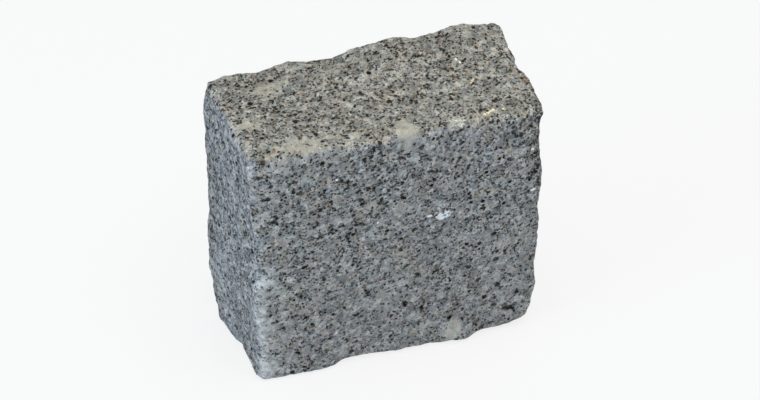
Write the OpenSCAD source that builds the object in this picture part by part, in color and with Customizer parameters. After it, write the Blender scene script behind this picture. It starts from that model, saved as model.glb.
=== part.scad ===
// Hewn granite paving sett: one split block of stone, standing on its narrow foot.
// The origin is on the ground under the middle of the block. +X runs along its length,
// +Y from its front face to its back face, and +Z up from its foot to its head.

/* [Block] */
// Length of the block, from its left end to its right end
length = 104; // [80:1:125]
// Thickness of the block at mid-height, from its front face to its back face
thickness = 46; // [35:1:65]
// Height of the block, from its foot to its head
height = 99; // [70:1:120]

/* [Arrises] */
// Radius of the worn arrises
arris_radius = 2.2; // [1:0.2:5]
// Depth of the small chips along the arrises
chip_depth = 0.9; // [0:0.1:2]
// Usual length of a chip along its arris
chip_length = 12; // [8:1:20]
// Width of the strip beside each arris that the chips reach into
chip_width = 4; // [2:0.5:8]

/* [Faces] */
// Height of the gentle swells that splitting leaves all over the faces
swell_height = 0.25; // [0:0.05:0.6]
// Wavelength of the longest swells
swell_length = 43; // [30:1:70]
// Depth of the foot's high spots that are dressed off, so that the block stands still
foot_dressing = 0.5; // [0.2:0.1:1]

/* [Hewing] */
// How far a typical corner stands out of square
out_of_square = 2; // [0:0.1:3]
// Reach of a typical hammer blow
blow_reach = 10; // [6:0.5:14]
// Depth that a typical hammer blow takes off or leaves proud
blow_depth = 2; // [0:0.1:3]

/* [Skin] */
// Mean spacing of the grid that the hewn skin is drawn on
grid_step = 3.25; // [3.25:0.25:6]
// Share by which the grid is drawn together towards the arrises
grid_crowding = 0.5; // [0:0.05:0.6]

/* [Hidden] */

box = [length, thickness, height];
stone_grey = [0.55, 0.56, 0.56];

// How far each corner stands out of square, in multiples of out_of_square,
// as [left, right] of [front, back] of [foot, head].
// The foot is thinner than the head, which lets such a stone be bedded between its neighbours.
corners = [
    [[[1.25, 1.25, 0.25], [0.75, 0, 0.5]], [[-1.75, -2, 0], [-0.5, 0, 0.6]]],
    [[[-0.5, 0.5, 0], [-0.5, -0.5, -2]], [[0.5, -1.5, 0], [0.25, 0, 1]]]
];

// Where the hammer has pushed the skin in or left it proud. Each row is a place, as shares of the
// length, thickness and height, then the reach and the shift at its middle, as multiples of
// blow_reach and blow_depth.
blows = [
    // Front foot corner on the right, broken off
    [[1.00, 0.00, 0.00], 1.0, [-0.8, 0.4, 1.6]],
    // Front edge of the head, worn down left of the middle
    [[0.32, 0.00, 1.00], 2.4, [0, -0.5, -0.5]],
    // Back edge of the head, in waves from left to right
    [[0.00, 1.00, 1.00], 0.5, [0.2, -0.1, -0.1]],
    [[0.06, 1.00, 1.00], 0.6, [0, 0, 0.3]],
    [[0.30, 1.00, 1.00], 0.9, [0, 0, 1.1]],
    [[0.40, 1.00, 1.00], 0.7, [0, 0, -0.8]],
    [[0.60, 1.00, 1.00], 1.3, [0, 0.25, 1.8]],
    [[0.87, 1.00, 1.00], 0.9, [0, 0.25, 1.4]],
    // Right edge of the head, with two notches
    [[1.00, 0.80, 1.00], 0.4, [0.2, 0, 0]],
    [[1.00, 0.57, 1.00], 0.5, [-1.0, 0, 0]],
    [[1.00, 0.40, 1.00], 0.5, [0.8, 0, 0]],
    [[1.00, 0.18, 1.00], 0.6, [0.9, 0, 0]],
    // Front edge of the right end
    [[1.00, 0.00, 0.87], 0.8, [-0.6, 0, 0]],
    [[1.00, 0.00, 0.36], 2.4, [0.8, 0, 0]],
    // Back edge of the left end
    [[0.00, 1.00, 0.78], 1.4, [-0.6, 0, 0]],
    [[0.00, 1.00, 0.30], 1.6, [-0.8, 0, 0]],
    // Left end, set back at the foot
    [[0.00, 1.00, 0.00], 0.8, [0.6, 0, 0.5]],
    [[0.00, 0.55, 0.06], 1.8, [0.9, 0, 0]],
    [[0.00, 0.48, 0.00], 0.3, [-0.7, 0, 0]],
    [[0.00, 0.14, 0.00], 0.4, [-0.8, 0, 0]],
    // Front edge of the left end, hollow above a ledge
    [[0.00, 0.00, 0.60], 1.8, [0.9, 0.3, 0]],
    [[0.00, 0.00, 0.48], 0.5, [0.7, 0.4, 0]],
    [[0.00, 0.00, 0.40], 0.5, [-0.4, -0.4, 0]],
    [[0.00, 0.00, 0.20], 1.6, [0.4, 0, 0]],
    // Front edge of the foot, with a knob of hard spar
    [[0.19, 0.00, 0.00], 0.8, [0, -0.6, 0]],
    [[0.38, 0.00, 0.00], 1.0, [0, 0.4, 0.5]],
    [[0.60, 0.00, 0.00], 0.8, [0, 0.2, 0.4]],
    [[0.73, 0.00, 0.03], 0.5, [0, -1.3, 0]],
    [[0.80, 0.00, 0.00], 0.5, [0, 0.3, 0.3]],
    // Back face and right end
    [[0.45, 1.00, 0.55], 2.4, [0, -0.6, 0]],
    [[0.90, 1.00, 0.10], 1.4, [-0.5, -1, 0]],
    [[1.00, 0.60, 0.40], 1.6, [-0.5, 0, 0]]
];

// Swells as [wavelength share, heading, phase], each a plane wave through the stone.
swells = [
    [1.00, [0.2, 1.0, 1.6], 20],
    [0.88, [1.0, 1.6, -0.3], 140],
    [0.74, [1.6, 0.2, 1.0], 250],
    [0.63, [-0.3, -1.0, 1.6], 70],
    [0.52, [-1.0, 1.6, 0.4], 310],
    [0.44, [1.6, -0.4, -1.0], 190]
];

// Waves that decide where the chips fall, as [cycles in a chip length along X, Y and Z, phase].
chip_waves = [
    [[0.62, -0.71, 0.55], 40],
    [[-0.43, 0.52, 0.77], 160],
    [[0.94, 0.83, -0.38], 280],
    [[0.31, 0.97, 0.91], 95]
];

function mix(a, b, share) = a + (b - a) * share;
function total(list, i = 0) = i == len(list) - 1 ? list[i] : list[i] + total(list, i + 1);
function middle_of(a, b, c) = max(min(a, b), min(max(a, b), c));

// Grid lines along one axis of the block, closer together towards the arrises.
function grid_lines(size) =
    let (cells = round(size / grid_step))
    [
        for (i = [0 : cells])
            let (t = 2 * i / cells - 1)
            size / 2 * mix(t, sin(90 * t), grid_crowding)
    ];

lines = [for (size = box) grid_lines(size)];
nx = len(lines.x) - 1;
ny = len(lines.y) - 1;
nz = len(lines.z) - 1;

// The point of the box's core that p is turned round, when p is in an arris or corner.
function core(p) =
    [for (a = [0 : 2]) max(arris_radius - box[a] / 2, min(box[a] / 2 - arris_radius, p[a]))];

function outward(p) =
    let (d = p - core(p))
    d / norm(d);

// Shift of the eight corners, spread evenly over the block between them: along, then across, then up.
function corner_shift(share) =
    let (
        along = [
            for (y = [0 : 1]) [
                for (z = [0 : 1]) mix(corners[0][y][z], corners[1][y][z], share.x)
            ]
        ],
        across = [for (z = [0 : 1]) mix(along[0][z], along[1][z], share.y)]
    )
    out_of_square * mix(across[0], across[1], share.z);

function blow_shift(p) =
    blow_depth * total([
        for (b = blows)
            let (
                place = [for (a = [0 : 2]) (b[0][a] - 0.5) * box[a]],
                far = norm(p - place) / (b[1] * blow_reach)
            )
            b[2] * exp(-far * far)
    ]);

// Longer swells stand higher, so that all are about as steep.
function swell(p) =
    swell_height * total([
        for (w = swells) w[0] * sin(360 * (p * w[1]) / norm(w[1]) / (w[0] * swell_length) + w[2])
    ]);

// Chips bite only inwards, and fade away from the arris they start from.
function chip(p) =
    let (
        edge = middle_of(box.x / 2 - abs(p.x), box.y / 2 - abs(p.y), box.z / 2 - abs(p.z)) / chip_width,
        bite = total([for (w = chip_waves) sin(360 * (p * w[0]) / chip_length + w[1])]) / len(chip_waves)
    )
    chip_depth * exp(-edge * edge) * max(0, bite) * 2;

// One point of the hewn skin, from a point p of the plain box around the origin.
function skin_point(p) =
    let (
        out = outward(p),
        share = [for (a = [0 : 2]) p[a] / box[a] + 0.5]
    )
    core(p) + out * (arris_radius + swell(p) - chip(p)) + corner_shift(share) + blow_shift(p);

function on_skin(i, j, k) =
    i == 0 || i == nx || j == 0 || j == ny || k == 0 || k == nz;

raw_points = [
    for (k = [0 : nz]) for (j = [0 : ny]) for (i = [0 : nx])
        if (on_skin(i, j, k)) skin_point([lines.x[i], lines.y[j], lines.z[k]])
];

// The ground is as high as the dressing above the foot, and the origin is the middle of the box.
low = [for (a = [0 : 2]) min([for (p = raw_points) p[a]])];
high = [for (a = [0 : 2]) max([for (p = raw_points) p[a]])];
ground = [(low.x + high.x) / 2, (low.y + high.y) / 2, foot_dressing - height / 2];
points = [for (p = raw_points) p - ground];

// A layer at the foot or head is a full grid, and a layer between them is a ring.
full_layer = (nx + 1) * (ny + 1);
ring_layer = 2 * (nx + ny);

function ring_place(i, j) =
    j == 0 ? i
    : j == ny ? nx + 1 + 2 * (ny - 1) + i
    : nx + 1 + 2 * (j - 1) + (i == 0 ? 0 : 1);

function vertex(i, j, k) =
    k == 0 ? j * (nx + 1) + i
    : k == nz ? full_layer + (nz - 1) * ring_layer + j * (nx + 1) + i
    : full_layer + (k - 1) * ring_layer + ring_place(i, j);

// Corner vertices of one grid cell, in turn: of the front face and those behind it, of the right end
// and those left of it, and of the head and those below it.
function front_cell(i, k, j) =
    [vertex(i, j, k), vertex(i, j, k + 1), vertex(i + 1, j, k + 1), vertex(i + 1, j, k)];

function right_cell(j, k, i) =
    [vertex(i, j, k), vertex(i, j, k + 1), vertex(i, j + 1, k + 1), vertex(i, j + 1, k)];

function head_cell(i, j, k) =
    [vertex(i, j, k), vertex(i, j + 1, k), vertex(i + 1, j + 1, k), vertex(i + 1, j, k)];

// A cell of the opposite face is wound the other way, so that it faces outwards too.
function wound_back(c) = [c[3], c[2], c[1], c[0]];

// Two triangles of a cell, split along alternate diagonals like a chequerboard.
function split(c, u, v) =
    (u + v) % 2 == 0
    ? [[c[0], c[1], c[2]], [c[0], c[2], c[3]]]
    : [[c[0], c[1], c[3]], [c[1], c[2], c[3]]];

faces = [
    for (i = [0 : nx - 1]) for (k = [0 : nz - 1])
        each concat(split(front_cell(i, k, 0), i, k), split(wound_back(front_cell(i, k, ny)), i, k)),
    for (j = [0 : ny - 1]) for (k = [0 : nz - 1])
        each concat(split(right_cell(j, k, nx), j, k), split(wound_back(right_cell(j, k, 0)), j, k)),
    for (i = [0 : nx - 1]) for (j = [0 : ny - 1])
        each concat(split(head_cell(i, j, nz), i, j), split(wound_back(head_cell(i, j, 0)), i, j))
];

module hewn_block() polyhedron(points = points, faces = faces, convexity = 4);

// The ground below the foot, wider and deeper than anything of the block that reaches under it.
module ground_below()
    translate([-length, -thickness, -height])
        cube([2 * length, 2 * thickness, height]);

module granite_sett()
    color(stone_grey)
        difference() {
            hewn_block();
            ground_below();
        }

granite_sett();
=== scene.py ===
# %% [markdown]
# # A hewn granite sett
# The object is one block of granite, split and trimmed with a hammer, of the kind that paths and
# drives are laid with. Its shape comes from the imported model, which is loaded first and never changed.
# The lesson then presses the fine relief of broken stone into a copy of the block, and mixes its
# speckled minerals from procedural nodes.

import math

import bpy
import numpy as np
from mathutils import Matrix, Vector


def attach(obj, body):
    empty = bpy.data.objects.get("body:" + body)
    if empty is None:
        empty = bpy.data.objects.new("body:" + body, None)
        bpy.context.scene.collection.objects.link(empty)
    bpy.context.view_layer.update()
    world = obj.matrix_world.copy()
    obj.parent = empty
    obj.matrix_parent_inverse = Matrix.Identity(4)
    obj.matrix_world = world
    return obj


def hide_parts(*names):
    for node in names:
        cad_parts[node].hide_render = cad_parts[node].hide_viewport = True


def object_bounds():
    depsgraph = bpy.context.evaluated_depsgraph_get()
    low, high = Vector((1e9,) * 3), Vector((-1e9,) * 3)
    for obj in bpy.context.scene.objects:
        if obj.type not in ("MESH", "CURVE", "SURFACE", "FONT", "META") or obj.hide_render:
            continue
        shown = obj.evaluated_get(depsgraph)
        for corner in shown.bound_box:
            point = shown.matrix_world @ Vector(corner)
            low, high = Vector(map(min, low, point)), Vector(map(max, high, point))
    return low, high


MM = 0.001

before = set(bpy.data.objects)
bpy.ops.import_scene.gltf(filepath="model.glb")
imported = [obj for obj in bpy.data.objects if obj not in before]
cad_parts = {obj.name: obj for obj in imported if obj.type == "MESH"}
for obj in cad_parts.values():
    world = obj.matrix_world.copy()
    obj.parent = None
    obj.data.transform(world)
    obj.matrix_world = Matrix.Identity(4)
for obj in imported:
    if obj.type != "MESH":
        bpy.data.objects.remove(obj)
cad_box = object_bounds()
cad_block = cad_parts["granite_sett"]
print("block measures, mm:", [round(side / MM, 1) for side in cad_box[1] - cad_box[0]])

# %% [markdown]
# ## The camera
# The view is from above and a little to the left, with a long lens, so that the front face stays
# nearly square. The camera's place is worked out from two angles, a distance and the point that it
# looks at. Naming these is clearer than typing a location and a rotation.

# %% Put the camera on its orbit
CAMERA_TURN = math.radians(-18.92)
CAMERA_TILT = math.radians(37.90)
CAMERA_DISTANCE = 756 * MM
CAMERA_AIM_RIGHT = 2.6 * MM
CAMERA_AIM_UP = 42.3 * MM
LENS = 100
NEAREST_SEEN = 10 * MM

camera_back = Vector((
    math.sin(CAMERA_TURN) * math.cos(CAMERA_TILT),
    -math.cos(CAMERA_TURN) * math.cos(CAMERA_TILT),
    math.sin(CAMERA_TILT),
))
camera_right = Vector((math.cos(CAMERA_TURN), math.sin(CAMERA_TURN), 0))
camera_up = camera_back.cross(camera_right)
camera_place = (camera_right * CAMERA_AIM_RIGHT + camera_up * CAMERA_AIM_UP
                + camera_back * CAMERA_DISTANCE)
camera_axes = Matrix((camera_right, camera_up, camera_back)).transposed()

bpy.ops.object.camera_add(location=camera_place, rotation=camera_axes.to_euler())
camera = bpy.context.object
camera.data.lens = LENS
camera.data.clip_start = NEAREST_SEEN
bpy.context.scene.camera = camera
bpy.context.scene.view_settings.view_transform = "Standard"
print("camera at", [round(x, 3) for x in camera.location])

# %% [markdown]
# ## Nodes in few words
# Every finish below is a tree of shader nodes. A small helper adds one node, sets its options, and
# feeds its sockets with numbers, colours or links, so that each line of a recipe reads as one step.

# %% Helpers for node trees
WHITE = (1, 1, 1, 1)
MIDDLE = (0.5, 0.5, 0.5)


def add(tree, kind, feeds=None, **options):
    """Adds a shader node, sets its options, and feeds its sockets by name or number."""
    node = tree.nodes.new("ShaderNode" + kind)
    for option, value in options.items():
        setattr(node, option, value)
    for socket, value in (feeds or {}).items():
        if isinstance(value, bpy.types.NodeSocket):
            tree.links.new(value, node.inputs[socket])
        else:
            node.inputs[socket].default_value = value
    return node


def math_of(tree, operation, a, b=0.0):
    """The result of a Math node."""
    return add(tree, "Math", {0: a, 1: b}, operation=operation).outputs[0]


def vector_of(tree, operation, a, b=(0, 0, 0), scale=1.0):
    """The result of a Vector Math node. Its scale is socket 3, which most operations hide."""
    return add(tree, "VectorMath", {0: a, 1: b, 3: scale}, operation=operation).outputs[0]


def noise_of(tree, vector, scale, detail, roughness=0.5):
    """The outputs of a noise texture: a number first, and a colour."""
    feeds = {"Vector": vector, "Scale": scale, "Detail": detail, "Roughness": roughness}
    return add(tree, "TexNoise", feeds).outputs


def blend(tree, share, a, b, mode="MIX"):
    """A colour that goes from a to b as share goes from 0 to 1."""
    return add(tree, "Mix", {0: share, 6: a, 7: b}, data_type="RGBA", blend_type=mode).outputs[2]


def ramp(tree, value, low, high, start=0.0, end=1.0):
    """A smooth step from start to end, as value goes from low to high."""
    feeds = {"Value": value, "From Min": low, "From Max": high, "To Min": start, "To Max": end}
    return add(tree, "MapRange", feeds, interpolation_type="SMOOTHSTEP").outputs[0]


def spread(tree, value, low, high):
    """A number from 0 to 1, spread evenly from low to high."""
    return add(tree, "MapRange", {"Value": value, "To Min": low, "To Max": high}).outputs[0]


def inside(tree, distance, reach, blur):
    """A mask that falls from 1 to 0 where a distance passes a reach, with a blurred edge."""
    inner = math_of(tree, "SUBTRACT", reach, blur)
    outer = math_of(tree, "ADD", reach, blur)
    return ramp(tree, distance, inner, outer, 1.0, 0.0)


def new_group(name, inputs, outputs):
    """An empty node group with named sockets, and its two end nodes."""
    tree = bpy.data.node_groups.new(name, "ShaderNodeTree")
    for socket, kind in inputs.items():
        tree.interface.new_socket(socket, in_out="INPUT", socket_type="NodeSocket" + kind)
    for socket, kind in outputs.items():
        tree.interface.new_socket(socket, in_out="OUTPUT", socket_type="NodeSocket" + kind)
    return tree, tree.nodes.new("NodeGroupInput").outputs, tree.nodes.new("NodeGroupOutput").inputs


print("node helpers ready")

# %% [markdown]
# ## The studio
# The block stands on a plain white floor. A white paint alone would look grey in soft light, so to
# the camera the floor also shines a little. It stays white there and still takes the block's shadow.

# %% Lay the floor
FLOOR_SIZE = 6
FLOOR_SHINE = 0.8
FLOOR_COLOUR = (0.86, 0.86, 0.86, 1)

bpy.ops.object.select_all(action="DESELECT")
bpy.ops.mesh.primitive_plane_add(size=FLOOR_SIZE)
floor = bpy.context.object
floor.name = "studio_floor"


def seen_directly(tree):
    """1 for rays that show the studio itself: to the camera, in a reflection or through glass."""
    path = add(tree, "LightPath").outputs
    shown = math_of(tree, "MAXIMUM", path["Is Camera Ray"], path["Is Glossy Ray"])
    return math_of(tree, "MAXIMUM", shown, path["Is Transmission Ray"])


floor_paint = bpy.data.materials.new("white_floor")
floor_paint.use_nodes = True
tree = floor_paint.node_tree
tree.nodes.clear()
matt = add(tree, "BsdfDiffuse", {"Color": FLOOR_COLOUR})
glow = add(tree, "Emission", {"Color": WHITE, "Strength": 1.0})
share = math_of(tree, "MULTIPLY", seen_directly(tree), FLOOR_SHINE)
mixed = add(tree, "MixShader", {0: share, 1: matt.outputs[0], 2: glow.outputs[0]})
add(tree, "OutputMaterial", {"Surface": mixed.outputs[0]})
floor.data.materials.append(floor_paint)
print("floor", FLOOR_SIZE, "m wide")

# %% [markdown]
# ### Light
# A large soft light hangs above, and a cooler one stands at the left, as a window would. Soft light
# from two sides shows the rough stone without hard shadows, and makes the head warmer than the end.
# A pale blue sky fills in the rest, but the camera sees it as plain white.

# %% Hang the lights
SKY_COLOUR = (0.82, 0.92, 1.0, 1)
SKY_STRENGTH = 0.50
BLOCK_MIDDLE = Vector((0, 0, 50 * MM))


def soft_light(name, place, width, power, colour):
    """A square softbox that faces the middle of the block."""
    turn = (Vector(place) - BLOCK_MIDDLE).to_track_quat("Z", "Y").to_euler()
    bpy.ops.object.light_add(type="AREA", location=place, rotation=turn)
    light = bpy.context.object
    light.name = name
    light.data.size = width
    light.data.energy = power
    light.data.color = colour
    print(name, power, "W")


soft_light("overhead_softbox", place=(0.1, -0.35, 1.3), width=1.1, power=8.8, colour=(1.0, 0.93, 0.77))
soft_light("left_window", place=(-1.25, -0.28, 0.5), width=0.9, power=7.2, colour=(0.63, 0.81, 1.0))

world = bpy.data.worlds.new("studio_sky")
bpy.context.scene.world = world
world.use_nodes = True
tree = world.node_tree
tree.nodes.clear()
sky = add(tree, "Background", {"Color": SKY_COLOUR, "Strength": SKY_STRENGTH})
white = add(tree, "Background", {"Color": WHITE, "Strength": 1.0})
mixed = add(tree, "MixShader", {0: seen_directly(tree), 1: sky.outputs[0], 2: white.outputs[0]})
add(tree, "OutputWorld", {"Surface": mixed.outputs[0]})

# %% [markdown]
# ## The block
# Broken granite is rough all over: it parts round and through its crystals, and leaves small pits,
# steps and proud grains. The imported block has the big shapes, so a copy of it gets an even, fine skin
# with a voxel remesh, and the relief is then pressed into that skin. Last, every point is kept inside
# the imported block's box, so that the stone never grows past its real size.

# %% Copy the block and give it an even skin
SKIN_STEP = 0.72 * MM
FACET_SMOOTHING = 8
MERGE_DISTANCE = 0.001 * MM

block = bpy.data.objects.new("granite_block", cad_block.data.copy())
bpy.context.scene.collection.objects.link(block)
bpy.ops.object.select_all(action="DESELECT")
bpy.context.view_layer.objects.active = block
block.select_set(True)

bpy.ops.object.mode_set(mode="EDIT")
bpy.ops.mesh.select_all(action="SELECT")
bpy.ops.mesh.remove_doubles(threshold=MERGE_DISTANCE)
bpy.ops.object.mode_set(mode="OBJECT")
block.data.materials.clear()

skin = block.modifiers.new("even_skin", "REMESH")
skin.mode = "VOXEL"
skin.voxel_size = SKIN_STEP
bpy.ops.object.modifier_apply(modifier="even_skin")
softened = block.modifiers.new("worn_facets", "SMOOTH")
softened.factor = 0.5
softened.iterations = FACET_SMOOTHING
bpy.ops.object.modifier_apply(modifier="worn_facets")
print("even skin:", len(block.data.vertices), "points")

# %% [markdown]
# ### Broken relief
# Three sizes of relief make a hewn face: shallow steps where the split jumped, a rough pitting of the
# size of the crystals, and the grains themselves. A Displace modifier reads a procedural texture for
# each. A clouds texture gives steps and pits, and a cellular one gives grains with flat tops.

# %% Press the relief into the skin
def press(name, kind, size, depth, where="", **options):
    """Presses a procedural texture half into and half out of the skin, all over or in one group."""
    texture = bpy.data.textures.new(name, kind)
    texture.noise_scale = size
    for option, value in options.items():
        setattr(texture, option, value)
    relief = block.modifiers.new(name, "DISPLACE")
    relief.texture = texture
    relief.texture_coords = "LOCAL"
    relief.strength = depth
    relief.mid_level = 0.5
    relief.vertex_group = where
    bpy.ops.object.modifier_apply(modifier=name)
    print(name, "pressed", round(depth / MM, 2), "mm deep")


def keep_in_box():
    """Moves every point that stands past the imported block's box back to its side."""
    places = np.zeros(len(block.data.vertices) * 3)
    block.data.vertices.foreach_get("co", places)
    places = np.clip(places.reshape(-1, 3), cad_box[0], cad_box[1])
    block.data.vertices.foreach_set("co", places.ravel())
    block.data.update()


BROKEN = {"noise_depth": 2, "noise_basis": "IMPROVED_PERLIN"}
press("split_steps", "CLOUDS", size=9 * MM, depth=0.9 * MM, **BROKEN)
press("crystal_pits", "CLOUDS", size=2.6 * MM, depth=0.7 * MM, **BROKEN)
press("proud_grains", "VORONOI", size=2.2 * MM, depth=0.25 * MM, distance_metric="DISTANCE")
keep_in_box()
bpy.ops.object.shade_smooth()
triangles = sum(len(face.vertices) - 2 for face in block.data.polygons)
print("block has", triangles, "triangles")

# %% [markdown]
# ### Where the arrises are
# Arrises bruise pale, and hollows get painted shade, with a little painted highlight on proud spots. To
# know where they are, the skin is smoothed a good deal on paper only: a point that stands outside the
# smoothed skin is on an arris or a lump, and one that lies inside it is in a hollow. The smoothed
# normals also tell which side faces the open sky, where the stone weathers and where a warm light is
# painted.
# The answers are kept on the mesh as attributes that materials can read.

# %% Measure arrises, lumps and the side that faces the sky
ARRIS_ROUNDS = 60
LUMP_ROUNDS = 6
SKY_ROUNDS = 40

points = np.zeros((len(block.data.vertices), 3))
normals = np.zeros((len(block.data.vertices), 3))
pairs = np.zeros((len(block.data.edges), 2), dtype=np.int32)
block.data.vertices.foreach_get("co", points.ravel())
block.data.vertices.foreach_get("normal", normals.ravel())
block.data.edges.foreach_get("vertices", pairs.ravel())


def smoothed(values, rounds):
    """Values moved again and again half way to the mean of their neighbours."""
    first, second = pairs.T
    count = np.bincount(pairs.ravel(), minlength=len(values))
    for _ in range(rounds):
        sums = [np.bincount(first, column[second], len(values))
                + np.bincount(second, column[first], len(values))
                for column in values.T]
        values = 0.5 * values + 0.5 * (np.array(sums) / count).T
    return values


def keep_on_points(name, numbers):
    """Stores one number for each point, for the materials to read."""
    attribute = block.data.attributes.new(name, "FLOAT", "POINT")
    attribute.data.foreach_set("value", numbers.astype(np.float32))
    print(name, "from", round(numbers.min(), 2), "to", round(numbers.max(), 2))


def standing_proud(rounds):
    """How far each point stands outside the skin smoothed by so many rounds, in millimetres."""
    return ((points - smoothed(points, rounds)) * normals).sum(axis=1) / MM


arris_height = standing_proud(ARRIS_ROUNDS)
keep_on_points("arris", arris_height)
keep_on_points("lump", standing_proud(LUMP_ROUNDS))
keep_on_points("skyward", smoothed(normals, SKY_ROUNDS)[:, 2])

# %% [markdown]
# ### Crumbled arrises
# An arris is where a hewn stone is weakest, and the hammer knocks crumbs out of it. So the arrises get
# a relief of their own, from one more Displace modifier. A vertex group tells it how much each point
# belongs to an arris, so that the faces beside it stay as they are. The crumbs fade out towards the
# foot, which was dressed flat.

# %% Crumble the arrises
# Heights in millimetres where the crumbs begin, and where they are at their full depth.
ARRIS_FROM = 0.3
ARRIS_FULL = 1.5
CRUMB_LEVELS = 10
FOOT_FADE = 25 * MM

crumbled = np.clip((arris_height - ARRIS_FROM) / (ARRIS_FULL - ARRIS_FROM), 0, 1)
crumbled = crumbled * np.clip(points[:, 2] / FOOT_FADE, 0, 1)
levels = (crumbled * CRUMB_LEVELS).round().astype(int)
arrises = block.vertex_groups.new(name="arrises")
for level in range(1, CRUMB_LEVELS + 1):
    arrises.add(np.flatnonzero(levels == level).tolist(), level / CRUMB_LEVELS, "REPLACE")
press("arris_crumbs", "CLOUDS", size=2.4 * MM, depth=2.0 * MM, where="arrises",
      noise_depth=1, noise_basis="IMPROVED_PERLIN")
block.vertex_groups.clear()
keep_in_box()

# %% [markdown]
# ## Granite
# The stone is a mosaic of crystals about a millimetre across: pale feldspar, creamy feldspar and grey
# quartz, with black mica in between. Mountain pressure has laid the mica roughly in one plane, so the
# specks are drawn out along it. The recipe starts with spaces to draw in, measured in millimetres. Two
# are dipped and leaned to the mica's plane, squeezed across it and rippled, so that no edge in them is
# straight. Three more stay square to the block, for its single marks: a calm, an even and a ragged one.

# %% Make the rock's own spaces
MICA_PLANE_DIP = math.radians(20)
MICA_PLANE_LEAN = math.radians(42)
GRAIN_SQUEEZE = (1.0, 0.88, 1.08)
MICA_SQUEEZE = (0.91, 0.85, 1.15)
RIPPLES_PER_MM = 1.7
BENDS_PER_MM = 0.3
GRAIN_RIPPLE = 0.45
MICA_RIPPLE = 0.80
CALM_RIPPLE = 0.8
EVEN_RIPPLE = 2.4
RAGGED_BEND = 5.0

rock_space, _, result = new_group(
    "rock_space", {},
    {"Grain": "Vector", "Mica": "Vector", "Calm": "Vector", "Even": "Vector", "Ragged": "Vector"})
tree = rock_space
place = add(tree, "TexCoord").outputs["Object"]
in_mm = vector_of(tree, "SCALE", place, scale=1 / MM)
dipped = add(tree, "Mapping", {
    "Vector": in_mm, "Rotation": (MICA_PLANE_LEAN, MICA_PLANE_DIP, 0)}).outputs[0]
ripples = noise_of(tree, in_mm, RIPPLES_PER_MM, 2.0)["Color"]
bends = noise_of(tree, in_mm, BENDS_PER_MM, 2.0)["Color"]


def pushed(vector, noise, amount):
    """The vector, pushed about by a noise around its middle value."""
    centred = vector_of(tree, "SUBTRACT", noise, MIDDLE)
    return vector_of(tree, "ADD", vector, vector_of(tree, "SCALE", centred, scale=amount))


def squeezed(vector, squeeze):
    """The vector, stretched or squeezed along each axis."""
    return add(tree, "Mapping", {"Vector": vector, "Scale": squeeze}).outputs[0]


even = pushed(in_mm, ripples, EVEN_RIPPLE)
tree.links.new(squeezed(pushed(dipped, ripples, GRAIN_RIPPLE), GRAIN_SQUEEZE), result["Grain"])
tree.links.new(squeezed(pushed(dipped, ripples, MICA_RIPPLE), MICA_SQUEEZE), result["Mica"])
tree.links.new(pushed(in_mm, ripples, CALM_RIPPLE), result["Calm"])
tree.links.new(even, result["Even"])
tree.links.new(pushed(even, bends, RAGGED_BEND), result["Ragged"])
print("rock spaces made")

# %% [markdown]
# ### Grains
# Voronoi noise cuts space into cells, each with a random colour: one cell is one crystal. The group
# gives three random numbers for each crystal, so that one can choose its mineral, one its height and
# one its tint. It also gives each crystal a tilt of its own, and the distance from the crystal's
# middle, which lets black grains be drawn smaller than their cells.

# %% Make a group that cuts grains
grains, given, result = new_group(
    "grains", {"Vector": "Vector", "Size": "Float", "Seed": "Float"},
    {"Pick": "Float", "Height": "Float", "Tint": "Float", "Tilt": "Vector", "Away": "Float"})
tree = grains
scale = math_of(tree, "DIVIDE", 1.0, given["Size"])
moved = vector_of(tree, "ADD", given["Vector"], given["Seed"])
cells = add(tree, "TexVoronoi", {"Vector": moved, "Scale": scale}).outputs
numbers = add(tree, "SeparateColor", {0: cells["Color"]}).outputs
tree.links.new(numbers[0], result["Pick"])
tree.links.new(numbers[1], result["Height"])
tree.links.new(numbers[2], result["Tint"])
tree.links.new(vector_of(tree, "SUBTRACT", cells["Color"], MIDDLE), result["Tilt"])
tree.links.new(cells["Distance"], result["Away"])
print("grains group made")

# %% [markdown]
# ### Flecks
# A fleck is a small rounded spot that stands alone. Some of the Voronoi seeds are chosen by one random
# number, and around each of these the fleck reaches as far as another one says. The same group makes
# the eyes of quartz, the smallest painted glints and the ochre specks.

# %% Make a group that scatters flecks
SMALLEST_FLECK = 0.55
LARGEST_FLECK = 1.25

flecks, given, result = new_group(
    "flecks",
    {"Vector": "Vector", "Cell": "Float", "Share": "Float", "Reach": "Float", "Blur": "Float"},
    {"Mask": "Float", "Tint": "Float"})
tree = flecks
scale = math_of(tree, "DIVIDE", 1.0, given["Cell"])
cells = add(tree, "TexVoronoi", {"Vector": given["Vector"], "Scale": scale}).outputs
numbers = add(tree, "SeparateColor", {0: cells["Color"]}).outputs
chosen = math_of(tree, "LESS_THAN", numbers[0], given["Share"])
grown = spread(tree, numbers[1], SMALLEST_FLECK, LARGEST_FLECK)
reach = math_of(tree, "MULTIPLY", given["Reach"], grown)
shape = inside(tree, cells["Distance"], reach, given["Blur"])
tree.links.new(math_of(tree, "MULTIPLY", chosen, shape), result["Mask"])
tree.links.new(numbers[2], result["Tint"])
print("flecks group made")

# %% [markdown]
# ### Single spots
# This block has marks of its own that no noise would put in the right place, such as a lump of creamy
# spar or a painted golden glint on a mica plate. Each is drawn as a small ellipsoid, given by its
# middle and its half widths in millimetres. Its edge follows the ripples of the space that it is drawn
# in, so the calm space gives a crisp mark, and the ragged one a torn patch.

# %% Make a group that draws one spot
spot, given, result = new_group(
    "spot", {"Vector": "Vector", "Middle": "Vector", "Half": "Vector", "Blur": "Float"},
    {"Mask": "Float"})
tree = spot
offset = vector_of(tree, "SUBTRACT", given["Vector"], given["Middle"])
shares = vector_of(tree, "DIVIDE", offset, given["Half"])
away = add(tree, "VectorMath", {0: shares}, operation="LENGTH").outputs["Value"]
tree.links.new(inside(tree, away, 1.0, given["Blur"]), result["Mask"])
print("spot group made")

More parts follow.
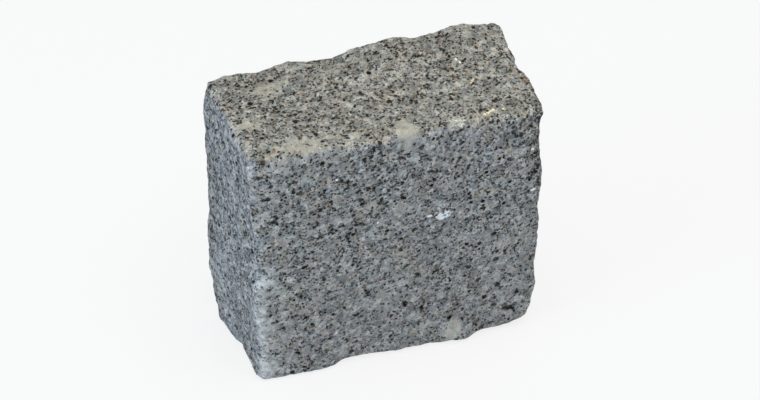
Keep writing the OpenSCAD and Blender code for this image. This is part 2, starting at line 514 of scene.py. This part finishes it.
# %% [markdown]
# ### The finished stone
# The material is built up in layers, from the pale mosaic to the glints. These few helpers place the
# groups in it, and keep the recipe short: one uses a group, one gives each crystal its mineral, and
# one gathers a list of single spots into one mask.

# %% Start the granite
granite = bpy.data.materials.new("speckled_granite")
granite.use_nodes = True
tree = granite.node_tree
tree.nodes.clear()


def use(group, **feeds):
    """The outputs of a node group placed in the granite's tree."""
    return add(tree, "Group", feeds, node_tree=group).outputs


def minerals(pick, stops):
    """A mineral's colour for each grain: each stop is where its share starts, and its colour."""
    colours = add(tree, "ValToRGB", {0: pick})
    band = colours.color_ramp
    band.interpolation = "CONSTANT"
    band.elements[0].color = stops[0][1]
    band.elements[1].position, band.elements[1].color = stops[1]
    for start, colour in stops[2:]:
        band.elements.new(start).color = colour
    return colours.outputs[0]


def times(a, b):
    """One mask or number times another."""
    return math_of(tree, "MULTIPLY", a, b)


def larger(a, b):
    """The larger of two masks."""
    return math_of(tree, "MAXIMUM", a, b)


def tinted(colour, tint):
    """A colour multiplied by a tint or a shade."""
    return blend(tree, 1.0, colour, tint, "MULTIPLY")


def spots(places, blur, vector):
    """One mask for a list of single spots."""
    mask = 0.0
    for middle, half in places:
        one = use(spot, Vector=vector, Middle=middle, Half=half, Blur=blur)["Mask"]
        mask = larger(mask, one)
    return mask


space = use(rock_space)
grain, calm, even, ragged = space["Grain"], space["Calm"], space["Even"], space["Ragged"]
print("granite started")

# %% [markdown]
# ### The pale mosaic
# Feldspar and quartz crystals of two sizes are the ground of the stone. A colour ramp with hard steps
# turns each crystal's random number into one mineral. A fine noise over it gives the sugary look of
# broken feldspar, and rounded eyes of bluish quartz stand in between.

# %% Lay the pale crystals
QUARTZ = (0.175, 0.185, 0.193, 1)
GREY_SPAR = (0.290, 0.301, 0.306, 1)
WHITE_SPAR = (0.520, 0.534, 0.540, 1)
CREAM_SPAR = (0.410, 0.392, 0.345, 1)
BLUE_QUARTZ = (0.195, 0.218, 0.238, 1)
COOL = (0.970, 1.000, 1.06, 1)
WARM = (1.040, 0.992, 0.970, 1)
MINERALS = [(0, QUARTZ), (0.28, GREY_SPAR), (0.60, WHITE_SPAR), (0.85, CREAM_SPAR)]
BROAD_SHARE = 0.45
EYE_STRENGTH = 0.7

pale = use(grains, Vector=grain, Size=0.80, Seed=0.0)
broad = use(grains, Vector=grain, Size=1.9, Seed=31.0)
pale_minerals = minerals(pale["Pick"], MINERALS)
mosaic = blend(tree, BROAD_SHARE, pale_minerals, minerals(broad["Pick"], MINERALS))
mosaic = tinted(mosaic, blend(tree, broad["Tint"], COOL, WARM))
sugar = noise_of(tree, grain, 3.2, 2.0)[0]
mosaic = tinted(mosaic, ramp(tree, sugar, 0.25, 0.75, 0.70, 1.30))

eyes = use(flecks, Vector=grain, Cell=4.2, Share=0.30, Reach=0.26, Blur=0.06)
eye_colour = blend(tree, ramp(tree, eyes["Tint"], 0.40, 0.60), BLUE_QUARTZ, GREY_SPAR)
mosaic = blend(tree, times(eyes["Mask"], EYE_STRENGTH), mosaic, eye_colour)
print("mosaic of", len(MINERALS), "minerals")

# %% [markdown]
# ### Lumps and patches of spar
# Here and there feldspar has grown in one large piece. This block has a creamy lump at the front edge
# of its head, a paler one at its foot, some creamy patches with torn edges, and wider zones that are
# only a little paler. They are single spots, and a mottling noise breaks up the patches.

# %% Set in the spar
CREAM_LUMP = (0.478, 0.478, 0.450, 1)
PALE_LUMP = (0.570, 0.562, 0.522, 1)
LUMP_STRENGTH = 0.80
PATCH_STRENGTH = 0.98
PALE_LUMP_STRENGTH = 0.85
ZONE_STRENGTH = 0.20
SPAR_LUMPS = [
    ((4.6, -20.6, 94.6), (3.6, 6.0, 5.5)),
]
PALE_LUMPS = [
    ((22.1, -22.5, 6.4), (2.6, 3, 5)),
]
SPAR_PATCHES = [
    ((-31.5, -20.0, 98), (9, 3, 4)),
    ((-31, 12, 99), (6, 2.8, 4)),
    ((-43.6, -6, 99.5), (3.6, 3.2, 4)),
    ((-7.5, -22.8, 70), (2.2, 3, 2.2)),
    ((12.5, -22.1, 12.0), (2.0, 3, 2.2)),
    ((3.6, -21.6, 45.0), (1.8, 3, 2.4)),
]
PALE_ZONES = [
    ((-42.5, -22, 24), (8, 5, 24)),
    ((-27.5, -20, 96), (18, 6, 5)),
    ((-1.5, -22, 28), (9, 4, 9)),
    ((2.5, -22, 67), (6, 4, 4)),
    ((42, -22, 32), (10, 5, 16)),
    ((-55, 0, 26), (5.5, 18, 20)),
]

mottle = noise_of(tree, even, 0.9, 3.0)[0]
patches = times(spots(SPAR_PATCHES, 0.45, ragged), ramp(tree, mottle, 0.30, 0.50))
solid = spots(SPAR_LUMPS, 0.4, ragged)
lumps = times(larger(solid, times(patches, PATCH_STRENGTH)), LUMP_STRENGTH)
mosaic = blend(tree, lumps, mosaic, CREAM_LUMP)
paler = spots(PALE_LUMPS, 0.4, ragged)
mosaic = blend(tree, times(paler, PALE_LUMP_STRENGTH), mosaic, PALE_LUMP)
zones = spots(PALE_ZONES, 0.45, ragged)
mosaic = blend(tree, times(zones, ZONE_STRENGTH), mosaic, WHITE_SPAR)
print(len(SPAR_LUMPS) + len(PALE_LUMPS), "lumps and", len(SPAR_PATCHES), "patches of spar")

# %% [markdown]
# ### Slow drifts
# No hand-sized piece of granite is even. Slow noises let its shade drift between lighter and darker
# and its hue between cool and pinkish. The lower front has less mica than the rest, so it is marked
# as a sparse zone.

# %% Let the shade drift
GREENISH = (0.976, 1.011, 1.010, 1)
PINKISH = (1.032, 0.988, 0.985, 1)
SPARSE_ZONES = [
    ((8, -24, 18), (58, 9, 28)),
]

drift = noise_of(tree, grain, 0.32, 3.0, 0.6)[0]
mosaic = tinted(mosaic, ramp(tree, drift, 0.25, 0.75, 1.16, 0.84))
blush = ramp(tree, noise_of(tree, even, 0.4, 3.0)[0], 0.35, 0.65)
mosaic = tinted(mosaic, blend(tree, blush, GREENISH, PINKISH))
sparse = spots(SPARSE_ZONES, 0.4, ragged)
mosaic = tinted(mosaic, ramp(tree, sparse, 0.0, 1.0, 1.03, 0.96))
print("drifts set")

# %% [markdown]
# ### Where the mica crowds
# The share of crystals that are mica rises where the stone is darker, in some zones and in small
# nests. It falls in the spar, in the eyes of quartz, in the sparse zone and where the hammer has
# crushed an arris. Masks say how bare each of these is, and the largest of them counts.

# %% Find the mica's share
ZONE_EXTRA = 0.42
NEST_EXTRA = 0.35
MICA_ZONES = [
    ((50.5, -22, 82), (4, 4, 14)),
]
MICA_NESTS = [
    ((46.3, -22.2, 18.3), (2.0, 3, 3.0)),
    ((-41.2, -22.2, 71.3), (2.4, 2, 2.2)),
]
CRUSHED = [
    ((-46.8, -21.5, 22), (2.6, 3, 24)),
    ((-45.2, -20, 5), (4.5, 4, 5)),
    ((-45.9, -20.4, 45), (3.6, 2.5, 1.7)),
    ((-48.2, -21.2, 92.8), (1.6, 2.2, 2.6)),
]

crushed = times(spots(CRUSHED, 0.6, ragged), ramp(tree, mottle, 0.30, 0.60, 0.4, 1.0))
crowd = ramp(tree, drift, 0.32, 0.68, 0.07, 0.61)
crowd = math_of(tree, "ADD", crowd, times(spots(MICA_ZONES, 0.4, ragged), ZONE_EXTRA))
bare = larger(solid, paler)
BARENESS = [(patches, 0.88), (eyes["Mask"], 0.8), (zones, 0.35), (crushed, 0.4), (sparse, 0.26)]
for mask, strength in BARENESS:
    bare = larger(bare, times(mask, strength))
clear = math_of(tree, "SUBTRACT", 1.0, bare)
crowd = times(crowd, clear)
crowd = math_of(tree, "ADD", crowd, times(spots(MICA_NESTS, 0.5, ragged), NEST_EXTRA))
print("mica's share found")

# %% [markdown]
# ### Black mica
# Mica comes in three sizes: small flakes, plates, and thick books of plates. Each is a set of grains
# in the mica's own space. A share of them is chosen, and each is drawn in to its own reach and depth,
# so that some stay faint. On the head, which weathers, mica is deeper and some of it is brown. A few
# clots that stand out are set in as single spots.

# %% Scatter the mica
BLACK_MICA = (0.010, 0.009, 0.008, 1)
BROWN_MICA = (0.036, 0.026, 0.014, 1)
DARK_CLOT = (0.014, 0.011, 0.007, 1)
MICA_BLUR = 0.05
MICA_STRENGTH = 0.99
PLATE_SHARE = 0.31
BOOK_SHARE = 0.10
COARSE_EXTRA = 0.15
COARSE_ZONES = [
    ((-55, 0, 50), (7, 26, 56)),
    ((-38, 0, 100), (16, 22, 8)),
    ((2, -24, 74), (56, 8, 22)),
]
MICA_CLOTS = [
    ((43.0, -21.9, 10.7), (2.2, 2, 1.2)),
    ((37.3, -22.4, 34.9), (1.1, 2, 1.1)),
    ((8.9, -21.9, 35.5), (1.1, 2, 1.0)),
    ((38.2, -22.3, 23.3), (1.2, 2, 1.1)),
    ((4.4, -21.7, 23.6), (1.2, 2, 1.1)),
    ((-44.3, -22.7, 96.4), (0.9, 2, 0.9)),
    ((-46.6, -22.7, 91.0), (1.4, 2, 0.8)),
    ((-43.0, -22.5, 81.1), (1.1, 2, 0.9)),
    ((-41.2, -22.2, 71.3), (1.0, 2, 0.9)),
]

# How much each point faces the sky: it drives the mica's real weathering and the painted warm light.
skyward = add(tree, "Attribute", attribute_name="skyward").outputs["Fac"]
weather_and_warm_light = ramp(tree, skyward, 0.35, 0.75)
flakes = use(grains, Vector=space["Mica"], Size=0.71, Seed=57.0)
plates = use(grains, Vector=space["Mica"], Size=1.18, Seed=83.0)
books = use(grains, Vector=space["Mica"], Size=1.75, Seed=19.0)


def mica_of(cells, share, least, most, faintest):
    """Black grains in a share of the cells, the faintest of them given for the sides and the head."""
    chosen = math_of(tree, "LESS_THAN", cells["Pick"], share)
    shape = inside(tree, cells["Away"], spread(tree, cells["Height"], least, most), MICA_BLUR)
    depth = spread(tree, cells["Tint"], ramp(tree, weather_and_warm_light, 0.0, 1.0, *faintest), 1.0)
    return times(chosen, times(shape, depth))


lasting = times(crowd, ramp(tree, weather_and_warm_light, 0.0, 1.0, 1.0, 0.95))
coarse = times(spots(COARSE_ZONES, 0.3, calm), times(clear, COARSE_EXTRA))
lasting = math_of(tree, "ADD", lasting, coarse)
mica = mica_of(flakes, crowd, 0.43, 0.69, (0.62, 0.70))
mica = larger(mica, mica_of(plates, times(lasting, PLATE_SHARE), 0.38, 0.66, (0.74, 0.86)))
mica = larger(mica, mica_of(books, times(lasting, BOOK_SHARE), 0.36, 0.60, (0.78, 0.90)))

rusty = times(ramp(tree, plates["Tint"], 0.60, 1.0), weather_and_warm_light)
mica_colour = blend(tree, rusty, BLACK_MICA, BROWN_MICA)
colour = blend(tree, times(mica, MICA_STRENGTH), mosaic, mica_colour)
clots = times(spots(MICA_CLOTS, 0.4, calm), ramp(tree, sugar, 0.40, 0.65, 1.0, 0.75))
colour = blend(tree, clots, colour, DARK_CLOT)
print("three sizes of mica and", len(MICA_CLOTS), "clots")

# %% [markdown]
# ### Marks of the hammer
# Struck granite turns pale, because its crystals are full of cracks. So the arrises are bruised a
# little, most along the worn front edge of the head. Single spots add the crushed left arris, a fresh
# ledge on it, white chips at the head and scratches below them. The measured arrises and the sugary
# noise keep all of these uneven.

# %% Bruise the arrises
BRUISE = (0.46, 0.46, 0.45, 1)
CRUSHED_SPAR = (0.59, 0.605, 0.615, 1)
CRUSHED_GAIN = (1.30, 1.31, 1.31, 1)
FRESH_SPAR = (0.68, 0.72, 0.76, 1)
WHITE_CHIP = (0.88, 0.90, 0.91, 1)
CRUSHED_STRENGTH = 0.34
SCRATCH_STRENGTH = 0.60
WORN_EDGES = [
    ((-4, -22, 97), (50, 7, 6)),
]
BRUISES = [
    ((21.9, -21.5, 96), (2.8, 1.2, 1.4)),
    ((-45.6, -21.8, 79.5), (1.3, 2, 1.5)),
    ((-41.0, -22.6, 78.4), (1.6, 2, 1.6)),
]
SCRATCHES = [
    ((18.9, -22.9, 94.9), (0.9, 2, 1.4)),
    ((17.6, -22.9, 92.8), (0.7, 2, 1.5)),
    ((16.2, -22.9, 90.7), (0.6, 2, 1.4)),
    ((14.9, -22.9, 88.2), (0.6, 2, 1.3)),
]
FRESH_BREAKS = [
    ((-45.2, -20.6, 45.3), (3.3, 2, 1.1)),
]
WHITE_CHIPS = [
    ((20.4, -20.3, 96.2), (1.4, 0.5, 1.5)),
    ((21.9, -21.0, 96.0), (0.9, 0.6, 1.5)),
    ((24.0, -21.2, 95.9), (1.5, 0.5, 1.5)),
    ((22.6, -22.4, 95.3), (1.8, 0.8, 0.6)),
]

arris = add(tree, "Attribute", attribute_name="arris").outputs["Fac"]
worn = ramp(tree, spots(WORN_EDGES, 0.4, calm), 0.0, 1.0, 0.05, 0.27)
bruised = times(ramp(tree, arris, 0.6, 1.8), worn)
struck = times(spots(BRUISES, 0.5, ragged), ramp(tree, sugar, 0.40, 0.60, 0.10, 0.7))
colour = blend(tree, larger(bruised, struck), colour, BRUISE)
colour = blend(tree, times(crushed, CRUSHED_STRENGTH), colour, CRUSHED_SPAR)
colour = blend(tree, crushed, colour, tinted(colour, CRUSHED_GAIN))
colour = blend(tree, times(spots(SCRATCHES, 0.5, calm), SCRATCH_STRENGTH), colour, BRUISE)
fresh = times(spots(FRESH_BREAKS, 0.5, even), ramp(tree, sugar, 0.40, 0.58, 0.15, 0.9))
colour = blend(tree, fresh, colour, FRESH_SPAR)
chips = times(spots(WHITE_CHIPS, 0.5, calm), ramp(tree, sugar, 0.42, 0.55, 0.1, 0.95))
colour = blend(tree, chips, colour, WHITE_CHIP)
print(len(WHITE_CHIPS), "white chips and", len(SCRATCHES), "scratches")

# %% [markdown]
# ### Painted warm light, painted shade and rust
# The side that looks to the sky gets a warmer tint, which is painted warm light from above, and the far
# arrises that turn away from the light get painted shade. Iron in the mica leaves a few rust spots, and
# ochre specks are scattered mostly over the head.

# %% Paint warm light on the head and shade on the far arrises
PAINTED_WARM_LIGHT = (1.12, 1.062, 0.953, 1)
RUST = (0.22, 0.11, 0.045, 1)
OCHRE = (0.27, 0.155, 0.050, 1)
RUST_STRENGTH = 0.45
OCHRE_STRENGTH = 0.8
PAINTED_SHADE_EDGES = [
    ((0, 20, 100), (60, 8, 8)),
    ((-54, 20, 50), (8, 9, 56)),
    ((51, -20, 58), (5, 9, 46)),
]
RUST_SPOTS = [
    ((-39.8, -20, 98.4), (0.7, 0.9, 1.5)),
    ((-44.3, -22.5, 97), (0.7, 1.5, 0.7)),
    ((-47.5, -20.5, 76), (1, 1, 0.7)),
    ((52, -5.8, 96.5), (1.2, 3, 1.6)),
]

# Painted warm light: the side that faces the sky is tinted warmer.
colour = blend(tree, weather_and_warm_light, colour, tinted(colour, PAINTED_WARM_LIGHT))
# Painted shade on the far arrises, which turn away from the light.
colour = tinted(colour, ramp(tree, spots(PAINTED_SHADE_EDGES, 0.6, ragged), 0.0, 1.0, 1.0, 0.86))
colour = blend(tree, times(spots(RUST_SPOTS, 0.4, calm), RUST_STRENGTH), colour, RUST)
stained = ramp(tree, weather_and_warm_light, 0.0, 1.0, 0.01, 0.26)
specks = use(flecks, Vector=grain, Cell=3.2, Share=stained, Reach=0.17, Blur=0.05)["Mask"]
colour = blend(tree, times(specks, OCHRE_STRENGTH), colour, OCHRE)
print(len(RUST_SPOTS), "rust spots")

# %% [markdown]
# ### Painted glints
# Where a flat plate of mica lies just right, it throws the light back, silvery or golden. Real mirrors
# this small would only sparkle by chance, so the brightest ones are painted into the colour as pale
# highlight spots, with smaller painted sparkles scattered as flecks. Last, proud spots get a little
# painted highlight and hollows get painted shade.

# %% Add the glints
PAINTED_SILVER_GLINT = (0.95, 0.97, 1.0, 1)
PAINTED_DULL_GLINT = (0.30, 0.34, 0.39, 1)
PAINTED_BLUE_GLINT = (0.72, 0.84, 1.0, 1)
PAINTED_GOLD_GLINT = (1.0, 0.88, 0.52, 1)
PAINTED_GLINT_PLATES = [
    ((16.5, -22.7, 59.3), (1.6, 2, 1.4)),
    ((18.7, -22.9, 60.0), (1.5, 2, 1.5)),
]
PAINTED_GLINTS = [
    ((12.6, -22.6, 60.2), (1.0, 2, 0.55)),
    ((48.4, -23.6, 80.1), (0.6, 2, 0.5)),
    ((49.3, -23.4, 62.9), (1.1, 2, 0.5)),
    ((32.6, 8.4, 99.2), (0.4, 0.7, 2)),
    ((33.4, 6.9, 98.9), (0.4, 0.5, 2)),
    ((-20.0, -23.2, 84.0), (0.45, 2, 0.45)),
]
PAINTED_GOLD_GLINTS = [
    ((32.3, -19.8, 95.5), (0.6, 0.5, 2)),
    ((33.5, -19.4, 95.6), (0.7, 0.4, 2)),
    ((34.7, -18.9, 95.7), (0.7, 0.4, 2)),
    ((35.6, -18.6, 95.7), (0.5, 0.5, 2)),
    ((33.4, -3.8, 97.6), (0.4, 0.45, 2)),
    ((34.1, -3.0, 97.6), (0.45, 0.6, 2)),
    ((34.8, -2.3, 97.6), (0.3, 0.4, 2)),
    ((39.0, -18.9, 95.6), (0.45, 0.5, 2)),
]

# Painted reflection: the brightest mica plates are painted as pale silvery spots, broken into shards.
painted_glint_shards = minerals(flakes["Tint"], [(0, PAINTED_DULL_GLINT), (0.28, PAINTED_BLUE_GLINT), (0.50, PAINTED_SILVER_GLINT)])
colour = blend(tree, spots(PAINTED_GLINT_PLATES, 0.2, even), colour, painted_glint_shards)
# Painted highlights: small white glints and scattered sparkles.
painted_sparks = use(flecks, Vector=grain, Cell=5.0, Share=0.08, Reach=0.08, Blur=0.02)["Mask"]
colour = blend(tree, larger(spots(PAINTED_GLINTS, 0.25, calm), painted_sparks), colour, PAINTED_SILVER_GLINT)
# Painted highlight: golden glints on mica plates.
colour = blend(tree, spots(PAINTED_GOLD_GLINTS, 0.25, calm), colour, PAINTED_GOLD_GLINT)
# Painted shade in the hollows and painted highlight on proud spots, from the measured lumps.
lump = add(tree, "Attribute", attribute_name="lump").outputs["Fac"]
colour = tinted(colour, ramp(tree, lump, -0.16, 0.16, 0.85, 1.10))
print(len(PAINTED_GLINTS), "glints and", len(PAINTED_GOLD_GLINTS), "golden plates")

# %% [markdown]
# ### Tilt and gloss
# Each crystal breaks along its own flat plane, so neighbours catch the light differently. The mesh is
# too coarse for that, so every pale grain tilts the normal a little, and a bump gives it a height with
# the mica lying lower. Mica is smoother than the spar round it.

# %% Finish the material
GRAIN_TILT = 0.8
MICA_DEPTH = 0.6
BUMP_HEIGHT = 0.3 * MM

normal = add(tree, "NewGeometry").outputs["Normal"]
tilt = vector_of(tree, "SCALE", pale["Tilt"], scale=GRAIN_TILT)
tilted = vector_of(tree, "NORMALIZE", vector_of(tree, "ADD", normal, tilt))
height = math_of(tree, "ADD", pale["Height"], sugar)
height = math_of(tree, "SUBTRACT", height, times(mica, MICA_DEPTH))
bump = add(tree, "Bump", {
    "Height": height, "Strength": 0.6, "Distance": BUMP_HEIGHT, "Normal": tilted}).outputs[0]
rough = ramp(tree, mica, 0.0, 1.0, 0.85, 0.55)
gloss = ramp(tree, mica, 0.0, 1.0, 0.08, 0.01)
shader = add(tree, "BsdfPrincipled", {
    "Base Color": colour, "Roughness": rough, "Specular IOR Level": gloss, "Normal": bump})
add(tree, "OutputMaterial", {"Surface": shader.outputs[0]})
block.data.materials.append(granite)
print("granite has", len(tree.nodes), "nodes")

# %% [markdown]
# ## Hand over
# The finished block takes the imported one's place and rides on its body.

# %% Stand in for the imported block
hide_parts("granite_sett")
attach(block, "root")
